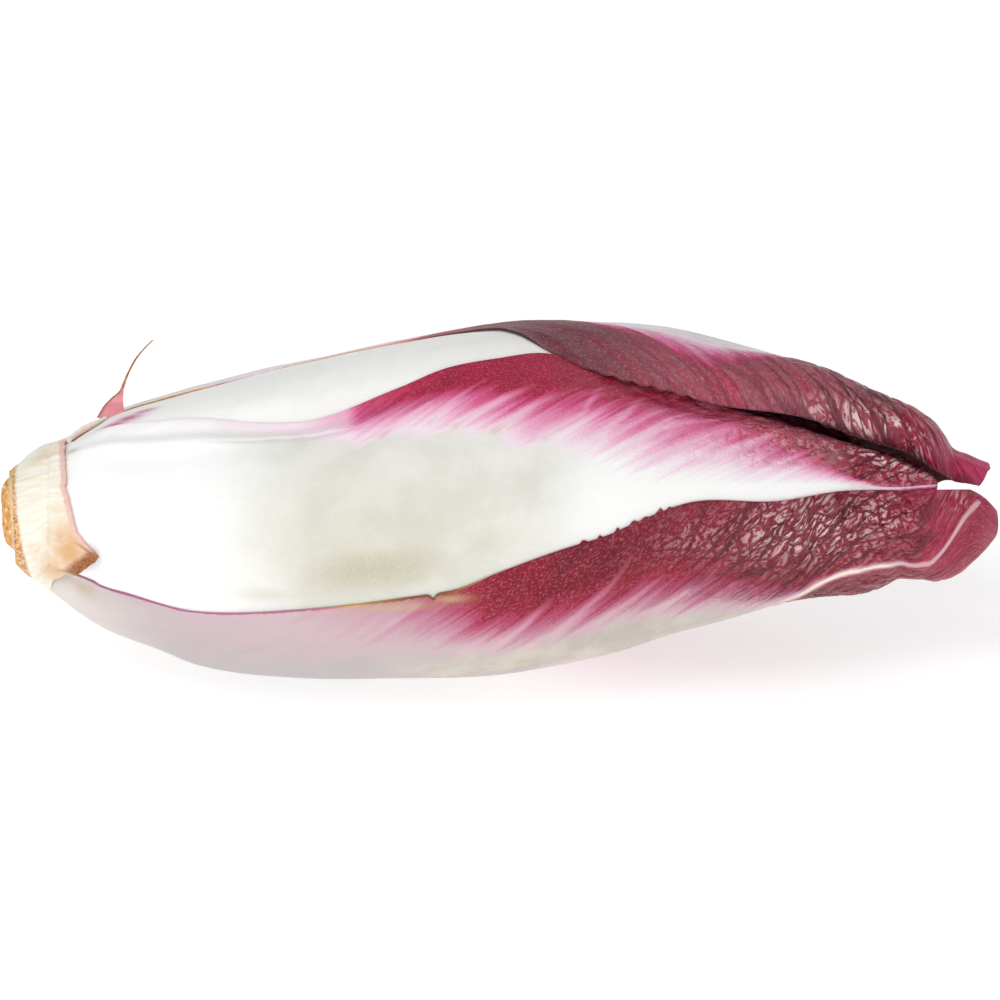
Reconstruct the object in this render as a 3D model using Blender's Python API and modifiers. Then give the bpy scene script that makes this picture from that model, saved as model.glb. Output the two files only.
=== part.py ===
"""A red endive spear lying on its side, at its real size.

The head is a short cone-shaped stub with leaves wrapped round it in a spiral, each leaf overlapping the
ones inside it. The leaves are laid one by one, from the heart outwards, on a chart of the head: places
along its axis (x, in millimetres) against turns round it (in degrees, 0 at the rib of the broad front leaf).
"""

import math
from dataclasses import dataclass, field

import bmesh
import bpy
import numpy as np
from mathutils import Vector

MM = 0.001

# The whole head, in millimetres and degrees. Stations are (x, value), from the cut end to the leaf tips.
FRONT_LIFT = 35.0  # the front leaf's rib faces this far above the horizon
AXIS_HEIGHT = 24.4  # height of the axis over the table, which presses the belly a little flat
CENTRE = (-0.42, 0.15)  # moves the head along X and Y, so that its box is centred over the origin
HEAD_RADIUS = [
    (-75, 7.0), (-70, 8.5), (-66, 10.6), (-62, 13.4), (-58, 16.1), (-51, 19.2), (-45, 21.2), (-30, 24.1),
    (-15, 25.7), (0, 26.5), (15, 25.3), (30, 22.3), (45, 18.3), (60, 13.1), (66, 10.6), (75, 6.5),
]
AXIS_RISE = [
    (-75, -2.0), (-66, -2.1), (-45, -3.7), (-30, -2.8), (-15, -1.2), (0, 0.4), (15, 1.9), (30, 2.9),
    (45, 2.9), (60, 1.7), (75, 1.2),
]

# The solid middle: the stub with its cut face, and the bud above it.
STUB_PROFILE = [
    (-74.6, 0.0), (-74.6, 3.0), (-74.3, 4.3), (-73.5, 5.3), (-72.2, 6.4), (-70.5, 7.2), (-67.5, 7.8),
    (-63, 7.8), (-55, 6.8), (-48, 5.4), (-41, 3.2), (-37, 1.5), (-36, 0.0),
]
CUT_RINGS = 3  # how many rings of the stub belong to its cut face
CUT_LEAN = 0.05  # how far the cut face leans back per millimetre of rise
CUT_TURN = 0.08  # how far it turns towards the front
BUD_PROFILE = [
    (-35, 0.0), (-33, 2.4), (-22, 7.4), (-8, 11.0), (8, 12.0), (24, 9.6), (37, 5.0), (43, 1.8), (44.5, 0.0),
]
TURNED_SIDES = 28

# Leaves.
DIVERGENCE = 137.5  # turn from each leaf to the next one inwards
FIRST_RIB = -85.0
GAP = 0.5  # between one leaf and the next
TORN_STEPS = (1, 2)
TORN_THICKNESS = (1.0, 0.75)  # of the stripped leaf's base, at the cut and at the tear
LAMINA = 0.85  # thickness of the thin side parts
RIB_THICKNESS = [
    (-70, 1.1), (-66, 1.2), (-61, 2.3), (-55, 3.2), (-45, 3.4), (-15, 3.0), (15, 2.4), (40, 1.8), (60, 1.3),
    (75, 1.0),
]
RIB_HALF_WIDTH = [(-70, 14), (-45, 19), (-15, 17), (5, 12), (20, 8), (35, 5), (50, 2.8), (60, 1.9), (75, 1.2)]
HALF_WIDTH = [(0, 9), (0.15, 14.5), (0.35, 19.5), (0.6, 24), (0.8, 22), (0.93, 15), (1, 10)]
SINK = 2.4  # how far a leaf's margins lie inside its middle, where nothing is under them
SINK_FROM = 0.5  # share of the half width past which they do
ROLL_FROM = 0.3  # a rolled margin starts to rise at this share of the half width
ROLL_CREST = 0.87  # stands highest at this one
ROLL_DROP = 0.6  # and comes down again by this share of its height
WAVE = 0.5  # height of the margins' slow waves
WAVE_LENGTH = 23.0

# The chart on which the leaves are laid.
CHART_X = np.arange(-76.0, 77.01, 0.5)
CHART_TURN = np.arange(-180.0, 180.0, 1.5)
DRAPE_STEPS = (2, 4)  # how far a leaf's stiffness carries it over a step under it, along x and round

WHITE = (0.83, 0.83, 0.79, 1.0)
CREAM = (0.82, 0.66, 0.42, 1.0)
CRIMSON = (0.26, 0.035, 0.075, 1.0)
PALE_HEART = (0.85, 0.80, 0.52, 1.0)


@dataclass
class Leaf:
    """One leaf on the chart. rib, low and high are stations for the turn of its rib and of its two margins;
    a margin left empty follows HALF_WIDTH. depth has stations for how far its back lies inside the radius."""

    name: str
    rib: list
    start: float
    end: float
    depth: list
    low: list = field(default_factory=list)
    high: list = field(default_factory=list)
    bow: float = 14.0  # the margins end this far short of the tip
    skew: float = 0.0  # and the low one this much nearer to it than the high one
    width: float = 1.0
    radius: list = field(default_factory=lambda: HEAD_RADIUS)
    roll_low: list = field(default_factory=lambda: [(-75, 0.0), (75, 0.0)])  # height of the low margin's roll
    torn: list = field(default_factory=list)
    gap: float = GAP
    thickness: float = 1.0
    rows: int = 26
    columns: int = 14
    colour: tuple = CRIMSON


def smooth(stations, x):
    """A smooth curve through the stations that doesn't swing past them, read at x."""
    at, value = np.array(stations, float).T
    rate = np.diff(value) / np.diff(at)
    before, after = np.append(rate[0], rate), np.append(rate, rate[-1])
    both = before + after
    slope = np.where(before * after > 0, 2 * before * after / np.where(both == 0, 1, both), 0)
    x = np.clip(x, at[0], at[-1])
    i = np.clip(np.searchsorted(at, x, side="right") - 1, 0, len(at) - 2)
    width = at[i + 1] - at[i]
    t = (x - at[i]) / width
    from_left = (1 + 2 * t) * (1 - t) ** 2 * value[i] + t * (1 - t) ** 2 * width * slope[i]
    from_right = t * t * (3 - 2 * t) * value[i + 1] + t * t * (t - 1) * width * slope[i + 1]
    return from_left + from_right


def ramp(low, high, x):
    """0 up to low, 1 from high, and a smooth step between them."""
    t = np.clip((x - low) / (high - low), 0, 1)
    return t * t * (3 - 2 * t)


def place(x, turn, radius):
    """The point, in metres, at x along the axis and at that turn and radius round it."""
    lift = math.radians(FRONT_LIFT)
    angle = np.radians(turn) + lift
    rise = smooth(AXIS_RISE, x)
    y = rise * math.sin(lift) - radius * np.cos(angle)
    z = rise * math.cos(lift) + radius * np.sin(angle) + AXIS_HEIGHT
    return np.stack(np.broadcast_arrays(x, y, z), axis=-1) * MM


def lean(turn, radius):
    """How far along x the slanted cut moves what is at that turn and radius."""
    return radius * (CUT_TURN * np.cos(np.radians(turn)) - CUT_LEAN * np.sin(np.radians(turn)))


# The chart.


def shifted(chart, axis, steps):
    """The chart moved by some steps: round and round along the turns, stopped at its ends along x."""
    if axis == 1:
        return np.roll(chart, steps, axis=1)
    index = np.clip(np.arange(chart.shape[0]) - steps, 0, chart.shape[0] - 1)
    return chart[index]


def over_window(chart, steps, combine):
    """Each place's neighbours within some steps, combined into one value, first along x and then round."""
    for axis in (0, 1):
        near = range(-steps[axis], steps[axis] + 1)
        chart = combine([shifted(chart, axis, n) for n in near], axis=0)
    return chart


def drape(chart, steps):
    """A smooth sheet that lies on the chart and goes under it nowhere."""
    highest = over_window(chart, [2 * n for n in steps], np.max)
    return over_window(over_window(highest, steps, np.mean), steps, np.mean)


def read_chart(chart, x, turn):
    """The chart's value at any place, linear between its points."""
    i = np.clip((x - CHART_X[0]) / (CHART_X[1] - CHART_X[0]), 0, len(CHART_X) - 1.001)
    j = ((turn - CHART_TURN[0]) / (CHART_TURN[1] - CHART_TURN[0])) % len(CHART_TURN)
    i0, j0 = np.floor(i).astype(int), np.floor(j).astype(int) % len(CHART_TURN)
    j1 = (j0 + 1) % len(CHART_TURN)
    a, b = i - i0, j - np.floor(j)
    near = chart[i0, j0] * (1 - b) + chart[i0, j1] * b
    far = chart[i0 + 1, j0] * (1 - b) + chart[i0 + 1, j1] * b
    return near * (1 - a) + far * a


# Leaves on the chart. u is 0 on a leaf's rib, -1 on its low margin and 1 on its high one.


def half_turn(leaf, x, side):
    """How many degrees lie between a leaf's rib and its margin on one side, -1 for low and 1 for high."""
    stations = leaf.low if side < 0 else leaf.high
    wave = WAVE * np.sin(2 * math.pi * x / WAVE_LENGTH + leaf.end) * ramp(-10, 30, x)
    around = smooth(leaf.radius, x) - smooth(leaf.depth, x) / 2
    if stations:
        half = side * (smooth(stations, x) - smooth(leaf.rib, x))
    else:
        share = (x - leaf.start) / (leaf.end - leaf.start)
        half = np.degrees(smooth(HALF_WIDTH, share) * leaf.width / around)
    return np.maximum(half + np.degrees(wave / around), 4.0)


def across(leaf, x, turn):
    """u at places on the chart."""
    off = (turn - smooth(leaf.rib, x) + 180) % 360 - 180
    return np.where(off < 0, off / half_turn(leaf, x, -1), off / half_turn(leaf, x, 1))


def reach(leaf, u):
    """How far along x a leaf goes at u."""
    if leaf.torn:
        return np.interp(u, *np.array(leaf.torn).T)
    return leaf.end - leaf.bow * u * u - leaf.skew * u


def foot(leaf, u):
    """Where along x a leaf begins at u: a torn one at the cut face, with its lean."""
    if not leaf.torn:
        return leaf.start + 0 * u
    turn = leaf.rib[0][1] + u * half_turn(leaf, leaf.start, 1)
    return leaf.start + lean(turn, smooth(leaf.radius, leaf.start))


def thickness(leaf, x, u):
    """Thickest on the rib, and thin at the sides. A torn leaf is thinner the further it is from its foot."""
    if leaf.torn:
        return TORN_THICKNESS[0] + (TORN_THICKNESS[1] - TORN_THICKNESS[0]) * ramp(-71, -61, x)
    half = np.radians(np.where(u < 0, half_turn(leaf, x, -1), half_turn(leaf, x, 1)))
    from_rib = np.abs(u) * half * smooth(leaf.radius, x)
    rib = smooth(RIB_THICKNESS, x) * leaf.thickness - LAMINA
    return LAMINA + np.maximum(rib, 0) * np.exp(-((from_rib / smooth(RIB_HALF_WIDTH, x)) ** 2)) * (1 - u**4)


def lay(leaf, chart):
    """The chart of a leaf's inner side, as it lies on the leaves inside it, and their chart with it added."""
    x, turn = np.meshgrid(CHART_X, CHART_TURN, indexing="ij")
    u = across(leaf, x, turn)
    inside = np.clip(np.abs(u), 0, 1)
    form = smooth(HEAD_RADIUS, x)
    under = drape(chart - form, TORN_STEPS if leaf.torn else DRAPE_STEPS) + form + leaf.gap
    free = smooth(leaf.radius, x) - smooth(leaf.depth, x)
    free = free - np.maximum(smooth(RIB_THICKNESS, x) * leaf.thickness, LAMINA)
    if not leaf.torn:
        free = free - SINK * ramp(SINK_FROM, 1, inside)
    inner = under + np.logaddexp(0, 2 * (free - under)) / 2
    roll = np.where(u < 0, smooth(leaf.roll_low, x), 0)
    inner = inner + roll * ramp(ROLL_FROM, ROLL_CREST, inside) * (1 - ROLL_DROP * ramp(ROLL_CREST, 1, inside))
    along, round_ = np.gradient(inner, CHART_X, np.radians(CHART_TURN))
    steep = np.sqrt(1 + along**2 + (round_ / np.maximum(inner, 1)) ** 2)
    covered = (np.abs(u) <= 1) & (x >= foot(leaf, u)) & (x <= reach(leaf, u))
    outer = inner + thickness(leaf, x, np.clip(u, -1, 1)) * steep
    return inner, np.where(covered, outer, chart)


def leaf_points(leaf, inner):
    """The rows and columns of points of a leaf's inner side, and its thickness at each."""
    v = 1 - (1 - np.linspace(0, 1, leaf.rows + 1)) ** 1.35
    u = np.linspace(-1, 1, leaf.columns + 1)
    v, u = np.meshgrid(v, u, indexing="ij")
    x = foot(leaf, u) + (reach(leaf, u) - foot(leaf, u)) * v
    half = np.where(u < 0, half_turn(leaf, x, -1), half_turn(leaf, x, 1))
    turn = smooth(leaf.rib, x) + u * half
    return place(x, turn, read_chart(inner, x, turn)), thickness(leaf, x, u) * MM


# Blender objects.


def material(name, colour, roughness):
    made = bpy.data.materials.get(name) or bpy.data.materials.new(name)
    made.use_nodes = True
    shader = made.node_tree.nodes["Principled BSDF"]
    shader.inputs["Base Color"].default_value = colour
    shader.inputs["Roughness"].default_value = roughness
    shader.inputs["Metallic"].default_value = 0.0
    made.diffuse_color = colour
    return made


def add_object(name, bm, origin, look):
    """A bmesh in world coordinates as an object whose origin is at the given point."""
    mesh = bpy.data.meshes.new(name)
    bmesh.ops.translate(bm, vec=-Vector(origin), verts=bm.verts)
    bm.to_mesh(mesh)
    bm.free()
    mesh.materials.append(look)
    mesh.shade_smooth()
    obj = bpy.data.objects.new(name, mesh)
    obj.location = origin
    head.objects.link(obj)
    obj.parent = carrier
    return obj


def grid_sheet(points):
    """An open sheet through rows and columns of points, split into triangles all the same way."""
    rows, columns = points.shape[:2]
    bm = bmesh.new()
    bmesh.ops.create_grid(bm, x_segments=rows - 1, y_segments=columns - 1, size=1)
    bmesh.ops.triangulate(bm, faces=bm.faces, quad_method="FIXED")
    order = []
    for vert in bm.verts:
        i = round((vert.co.x + 1) / 2 * (rows - 1))
        j = round((vert.co.y + 1) / 2 * (columns - 1))
        vert.co = points[i, j]
        order.append((i, j))
    return bm, order


def thicken(obj, thick, order):
    """Gives a sheet its thickness, on its outer side, and presses what comes lowest flat on the table."""
    most = float(thick.max())
    group = obj.vertex_groups.new(name="thickness")
    for index, (i, j) in enumerate(order):
        group.add([index], float(thick[i, j]) / most, "REPLACE")
    shell = obj.modifiers.new("thickness", "SOLIDIFY")
    shell.thickness = most
    shell.offset = 1
    shell.vertex_group = group.name
    settle(obj)
    table = -obj.location.z
    for vert in obj.data.vertices:
        vert.co.z = max(vert.co.z, table)


def settle(obj):
    """Turns an object's modifiers into its mesh."""
    bpy.context.view_layer.update()
    solid = bpy.data.meshes.new_from_object(obj.evaluated_get(bpy.context.evaluated_depsgraph_get()))
    obj.modifiers.clear()
    obj.data = solid


def add_leaf(leaf, inner):
    points, thick = leaf_points(leaf, inner)
    bm, order = grid_sheet(points)
    origin = place(leaf.start, smooth(leaf.rib, leaf.start), 0.0)
    obj = add_object(leaf.name, bm, origin, material(leaf.name, leaf.colour, 0.45))
    thicken(obj, thick, order)
    return obj


def add_turned(name, profile, look, leaning_rings=0):
    """A ball drawn out along the head's axis, so that its rings follow the profile; the first may lean."""
    rings = len(profile) - 1
    bm = bmesh.new()
    bmesh.ops.create_uvsphere(bm, u_segments=TURNED_SIDES, v_segments=rings, radius=1)
    for vert in bm.verts:
        ring = round(math.acos(max(-1.0, min(1.0, vert.co.z))) * rings / math.pi)
        x, radius = profile[ring]
        turn = math.degrees(math.atan2(vert.co.y, vert.co.x))
        if ring <= leaning_rings:
            x += lean(turn, radius)
        vert.co = place(x, turn, radius)
    bm.normal_update()
    bmesh.ops.recalc_face_normals(bm, faces=bm.faces)
    return add_object(name, bm, place(profile[0][0], 0.0, 0.0), look)


def turned_chart(*profiles):
    """The chart of the turned solids, which the innermost leaves lie on."""
    x, turn = np.meshgrid(CHART_X, CHART_TURN, indexing="ij")
    radius = np.zeros_like(x)
    for profile in profiles:
        at, value = np.array(profile[1:], float).T
        widest = value.max()
        radius = np.maximum(radius, np.interp(x - lean(turn, widest) * (x < -60), at, value, left=0, right=0))
    return radius


# The leaves, from the outermost inwards.

bottom_leaf = Leaf(
    "outer_leaf_1", start=-68.2, end=75.0, bow=2.5, skew=1.5, thickness=1.1, rows=36,
    depth=[(-75, 0), (-20, 0), (5, -0.5), (75, -0.5)],
    rib=[(-70, -92), (-45, -88), (-30, -86), (0, -82), (15, -78), (30, -73), (40, -70), (45, -66), (48, -58),
         (52, -51), (56, -49), (60, -53), (64, -56), (66, -47), (68, -32), (70, -18), (72, -10), (73.5, -13),
         (75, -22)],
    high=[(-70, -52), (-60, -52), (-45, -43.6), (-30, -38), (-15, -34.8), (-7, -33), (0, -27), (15, -18.3),
          (22, -12.7), (30, -9.6), (45, -8), (53, -5.4), (60, -1), (66, 2), (70.5, 1), (73, -5), (75, -16)],
    low=[(-70, -132), (-45, -146), (-30, -150), (0, -153), (30, -152), (45, -148), (60, -142), (68, -128),
         (72, -105), (75, -78)],
    radius=[(-75, 7.5), (-70, 9.8), (-66, 12.8), (-62, 15.6), (-58, 17.4)] + HEAD_RADIUS[5:-3]
    + [(51, 17.2), (55, 16.3), (58, 14.9), (61, 13.3), (64, 13.3), (66, 13.6), (69, 13.0), (72, 11.1),
       (75, 8.2)],
)
top_leaf = Leaf(
    "outer_leaf_2", start=-66.5, end=74.4, bow=3.8, gap=0.6, rows=34,
    depth=[(-75, 0.3), (-10, 0.0), (5, -0.7), (25, -0.8), (40, -0.4), (75, -0.3)],
    rib=[(-70, 138), (-30, 134), (0, 126), (15, 118), (30, 109), (45, 106), (60, 103), (66, 98), (69, 92),
         (71, 86), (75, 80)],
    low=[(-70, 99), (-45, 97.5), (-15, 96), (-6, 93), (-1, 86), (3, 74), (7, 64), (13, 54), (22, 42),
         (30, 38.6), (38, 36.2), (45, 34.6), (53, 33.6), (58, 32.8), (61.5, 29.5), (64, 23), (66, 18),
         (69, 17), (71, 20), (75, 24)],
    high=[(-70, 182), (-45, 185), (-15, 188), (0, 190), (15, 196), (30, 201), (45, 202), (60, 196), (66, 178),
          (69, 155), (71, 135), (75, 115)],
    radius=HEAD_RADIUS[:-2]
    + [(63, 12.0), (66, 9.9), (67.5, 8.0), (68.8, 6.4), (71.2, 5.5), (73, 4.9), (75, 4.4)],
    roll_low=[(-75, 0), (8, 0), (20, 0.6), (30, 1.5), (42, 3.2), (52, 4.1), (60, 3.9), (66, 1.8), (75, 0)],
)
front_leaf = Leaf(
    "outer_leaf_3", start=-67.2, end=66.0, depth=[(-75, 0.5), (-45, 0.8), (75, 0.8)], bow=10.0, columns=18,
    colour=WHITE,
    rib=[(-70, 0), (15, -1), (45, -2), (60, 1), (66, 5)],
    low=[(-70, -60), (-45, -72), (-15, -76), (7, -78), (30, -76), (50, -72), (60, -62), (66, -40)],
    high=[(-70, 58), (-60, 56), (-52, 53), (-45, 50), (-34, 46), (-28, 44), (-15, 49), (-7, 54.4), (0, 57.2),
          (7, 61), (13, 57), (22, 51), (30, 46), (38, 44.5), (45, 43.5), (53, 43), (60, 39), (66, 30)],
    radius=[(-75, 7.5), (-70, 9.9), (-66, 12.4), (-62, 14.9), (-58, 16.9)] + HEAD_RADIUS[5:],
)
back_leaf = Leaf(
    "outer_leaf_4", start=-63.5, end=64.0, depth=[(-75, 1.6), (-60, 3.4), (75, 3.4)], bow=11.0, gap=0.9,
    rib=[(-70, -142), (0, -150), (60, -155)],
)
under_leaf = Leaf(
    "outer_leaf_5", start=-64.0, end=60.0, bow=12.0, colour=WHITE,
    depth=[(-75, 0.9), (-58, 0.7), (-10, 0.7), (8, 2.0), (20, 3.6), (75, 3.6)],
    rib=[(-70, 80), (-30, 78), (0, 80), (60, 85)],
)


def inner_leaf(number):
    """One of the leaves of the heart, each narrower, shorter and deeper than the one outside it."""
    turn = FIRST_RIB - DIVERGENCE * (number + 4)
    return Leaf(
        f"inner_leaf_{number}",
        start=-63.0 + 3.0 * number,
        end=61.0 - 4.0 * number,
        depth=[(-75, 3.6 + 2.1 * number), (75, 3.6 + 2.1 * number)],
        bow=11.0,
        width=0.92 - 0.1 * number,
        rib=[(-70, turn), (75, turn)],
        thickness=0.85 - 0.08 * number,
        rows=16,
        columns=10,
        colour=PALE_HEART,
    )


# What is left of a leaf that was stripped off: the torn base of it, on the chart like any leaf.

torn_leaf = Leaf(
    "torn_leaf_base", start=-73.2, end=-57.0, depth=[(-75, 0), (75, 0)], gap=0.45, rows=7, columns=46,
    colour=CREAM,
    rib=[(-75, 18), (75, 18)],
    low=[(-75, -98), (-71, -92), (-69, -80), (-66.5, -66), (75, -62)],
    high=[(-75, 114), (75, 114)],
    radius=[(-76, 5.0), (-74, 6.6), (-72.6, 8.4), (-71, 9.9), (-68.7, 11.6), (-66.4, 12.5), (-63, 14.2),
            (-60, 15.8), (-50, 19.0)],
    torn=[(-1, -67.2), (-0.86, -65.6), (-0.72, -63.5), (-0.6, -61.6), (-0.52, -59.9), (-0.465, -59.5),
          (-0.43, -61.0), (-0.343, -62.6), (-0.2, -63.6), (-0.088, -64.1), (0.125, -64.6), (0.3, -64.8),
          (0.479, -64.9), (0.53, -64.3), (0.58, -62.8), (0.62, -61.3), (0.66, -59.5), (0.72, -58.7),
          (0.78, -59), (0.9, -61), (1, -64)],
)
# A strip of it stands up from it and ends in a dry thread: its two edges along x, and their radius.
STRIP_TURN = 87.0
STRIP = [
    (-60.6, -57.2, 14.8), (-59.6, -56.6, 16.9), (-58.2, -56.2, 18.2), (-57.0, -56.0, 19.6),
    (-56.4, -55.6, 21.0), (-55.6, -54.9, 22.6), (-54.8, -54.1, 24.2), (-53.7, -53.0, 25.9),
    (-52.6, -51.9, 27.2),
]
STRIP_THICKNESS = 0.7
STRIP_FOOT = 0.15  # how far its foot stands over the chart, inside the torn base


def add_torn_leaf(inner):
    """The stripped leaf's base, with its strip joined on."""
    base = add_leaf(torn_leaf, inner)
    left, right, radius = np.array(STRIP).T[:, :, None]
    x = left + (right - left) * np.linspace(0, 1, 4)
    radius = np.maximum(radius, read_chart(inner, x, STRIP_TURN) + STRIP_FOOT)
    bm, order = grid_sheet(place(x, STRIP_TURN, radius))
    strip = add_object("strip", bm, base.location, base.data.materials[0])
    thicken(strip, np.full(x.shape, STRIP_THICKNESS * MM), order)
    join = base.modifiers.new("strip", "BOOLEAN")
    join.operation = "UNION"
    join.solver = "EXACT"
    join.object = strip
    settle(base)
    bpy.data.objects.remove(strip)


for old in list(bpy.data.objects):
    bpy.data.objects.remove(old)

head = bpy.data.collections.new("endive_spear")
bpy.context.scene.collection.children.link(head)
carrier = bpy.data.objects.new("endive_spear", None)
carrier.location = (CENTRE[0] * MM, CENTRE[1] * MM, 0)
head.objects.link(carrier)

add_turned("stub", STUB_PROFILE, material("stub", CREAM, 0.6), CUT_RINGS)
add_turned("heart_bud", BUD_PROFILE, material("heart_bud", PALE_HEART, 0.5))

laid = turned_chart(STUB_PROFILE, BUD_PROFILE)
heart = [inner_leaf(number) for number in (4, 3, 2, 1)]
for leaf in [*heart, under_leaf, back_leaf, front_leaf, top_leaf, bottom_leaf]:
    leaf_inner, laid = lay(leaf, laid)
    add_leaf(leaf, leaf_inner)
add_torn_leaf(lay(torn_leaf, laid)[0])
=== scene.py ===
"""The looks of a red endive spear: fine leaves in place of the plain ones, their colours, and a studio.

The leaves are laid again as the solids are, one by one from the heart outwards, on a chart of the head:
places along its axis (x, in millimetres) against turns round it (in degrees, 0 at the rib of the broad front
leaf). Here they are thinner and lie closer, and each has its veins, puckers and worn margins.
"""

import math
from dataclasses import dataclass, field

import bmesh
import bpy
import numpy as np
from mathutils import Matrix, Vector


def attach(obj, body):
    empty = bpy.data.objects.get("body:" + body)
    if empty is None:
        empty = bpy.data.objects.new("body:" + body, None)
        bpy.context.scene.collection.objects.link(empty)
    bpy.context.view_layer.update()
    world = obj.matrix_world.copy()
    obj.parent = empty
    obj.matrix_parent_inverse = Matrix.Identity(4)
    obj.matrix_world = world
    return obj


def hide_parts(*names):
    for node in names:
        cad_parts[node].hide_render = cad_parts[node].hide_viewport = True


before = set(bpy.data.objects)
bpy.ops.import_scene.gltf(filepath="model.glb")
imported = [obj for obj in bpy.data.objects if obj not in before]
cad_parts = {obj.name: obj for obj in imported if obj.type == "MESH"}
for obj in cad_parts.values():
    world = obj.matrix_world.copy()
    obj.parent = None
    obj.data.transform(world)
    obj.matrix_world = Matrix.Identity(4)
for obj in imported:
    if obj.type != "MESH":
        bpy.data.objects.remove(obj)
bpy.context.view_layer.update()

MM = 0.001

# The head, in millimetres and degrees, as in the solids. Stations are (x, value), from the cut to the tips.
FRONT_LIFT = 35.0
AXIS_HEIGHT = 24.4
CENTRE = (-0.42, 0.15)
HEAD_RADIUS = [
    (-75, 7.0), (-70, 8.5), (-66, 10.6), (-62, 13.4), (-58, 16.1), (-51, 19.2), (-45, 21.2), (-30, 24.1),
    (-15, 25.7), (0, 26.5), (15, 25.3), (30, 22.3), (45, 18.3), (60, 13.1), (66, 10.6), (75, 6.5),
]
AXIS_RISE = [
    (-75, -2.0), (-66, -2.1), (-45, -3.7), (-30, -2.8), (-15, -1.2), (0, 0.4), (15, 1.9), (30, 2.9),
    (45, 2.9), (60, 1.7), (75, 1.2),
]
STUB_PROFILE = [
    (-74.6, 0.0), (-74.6, 3.0), (-74.3, 4.3), (-73.5, 5.3), (-72.2, 6.4), (-70.5, 7.2), (-67.5, 7.8),
    (-63, 7.8), (-55, 6.8), (-48, 5.4), (-41, 3.2), (-37, 1.5), (-36, 0.0),
]
CUT_LEAN = 0.05
CUT_TURN = 0.08
CUT_END = -73.4  # the cut's face and its rim end here
BUD_PROFILE = [
    (-35, 0.0), (-33, 2.4), (-22, 7.4), (-8, 11.0), (8, 12.0), (24, 9.6), (37, 5.0), (43, 1.8), (44.5, 0.0),
]

# Leaves in general.
DIVERGENCE = 137.5
FIRST_RIB = -85.0
HEART_GAP = 0.5
LAMINA = 0.42
HEART_LAMINA = 0.85
EDGE_ROUND = 0.35  # how far in from a margin its rounding reaches
EDGE_LEAST = 0.08  # a margin's thickness
RIB_THICKNESS = [
    (-70, 1.1), (-66, 1.2), (-61, 2.3), (-55, 3.2), (-45, 3.4), (-15, 3.0), (15, 2.4), (40, 1.8), (60, 1.3),
    (75, 1.0),
]
RIB_HALF_WIDTH = [
    (-70, 14), (-45, 19), (-15, 17), (5, 12), (20, 8), (35, 5), (50, 2.8), (60, 1.9), (75, 1.2),
]
HALF_WIDTH = [(0, 9), (0.15, 14.5), (0.35, 19.5), (0.6, 24), (0.8, 22), (0.93, 15), (1, 10)]
SINK = 2.4  # how far a free margin falls below its leaf's form
SINK_FROM = 0.5  # this and the others that say FROM are shares of the way from the rib to a margin
ROLL_FROM = 0.3
ROLL_CREST = 0.87  # where a rolled margin stands highest
ROLL_BACK = 0.75
TORN_DIP = 1.6  # how far the torn leaf drops between the upper and the top leaf
TORN_DIP_TURN = (82.0, 18.0)  # where, and how broadly
MEETING = (1.5, 5.0)  # how sharply a leaf leaves the ones under it, per mm, in its middle and at a margin
MEETING_FROM = (0.65, 0.95)
LEAST_HALF_TURN = 4.0
NICK_POWER = 1.3  # how hollow the sides of the teeth are
WAVE = 0.5
WAVE_LENGTH = 23.0
VEIN_SLANT = 2.1  # a side vein runs this far along x for each millimetre away from the rib
VEIN_CURVE = 0.022
RIB_WHITE = 0.85  # share of the rib's width that is white, on leaves with no other limit given
PALE_VEIN = 0.55  # half the width of a pale vein
OUTER_TAPER = 0.85  # share of a margin's taper that its outer side takes

# Heights of the relief.
FLUTES = 0.035
SWELL = 0.16
VEINS = 0.16
PUCKERS = 0.4
PALE_GROOVE = 0.1
WRINKLES = (0.16, 0.08)
FLAP_LIFT = 0.8

# The chart.
CHART_X = np.arange(-76.0, 77.01, 0.25)
CHART_TURN = np.arange(-180.0, 180.0, 0.75)
DRAPE_STEPS = (4, 8)
LOOSE_UP_TO = (0.94, 0.68)  # shares: tight from the first one on, loose up to the second

FLAT = [(-75, 0.0), (75, 0.0)]

# How red a leaf is, and its colour there.
PINK_REDS = [
    (0.13, 247, 228, 238), (0.30, 240, 174, 204), (0.47, 216, 96, 146), (0.62, 180, 32, 72),
    (0.80, 142, 24, 46), (1.0, 90, 14, 28),
]
# Duller reds, partly the leaf's own tone and partly painted shade, for the leaf that faces down.
DULL_AND_SHADED_REDS = [
    (0.13, 208, 184, 190), (0.30, 200, 140, 160), (0.47, 182, 80, 114), (0.62, 158, 30, 58),
    (0.80, 136, 18, 38), (1.0, 80, 8, 20),
]


def stations(*pairs):
    """A leaf's own list of stations, where none is given."""
    return field(default_factory=lambda: list(pairs))


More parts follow.
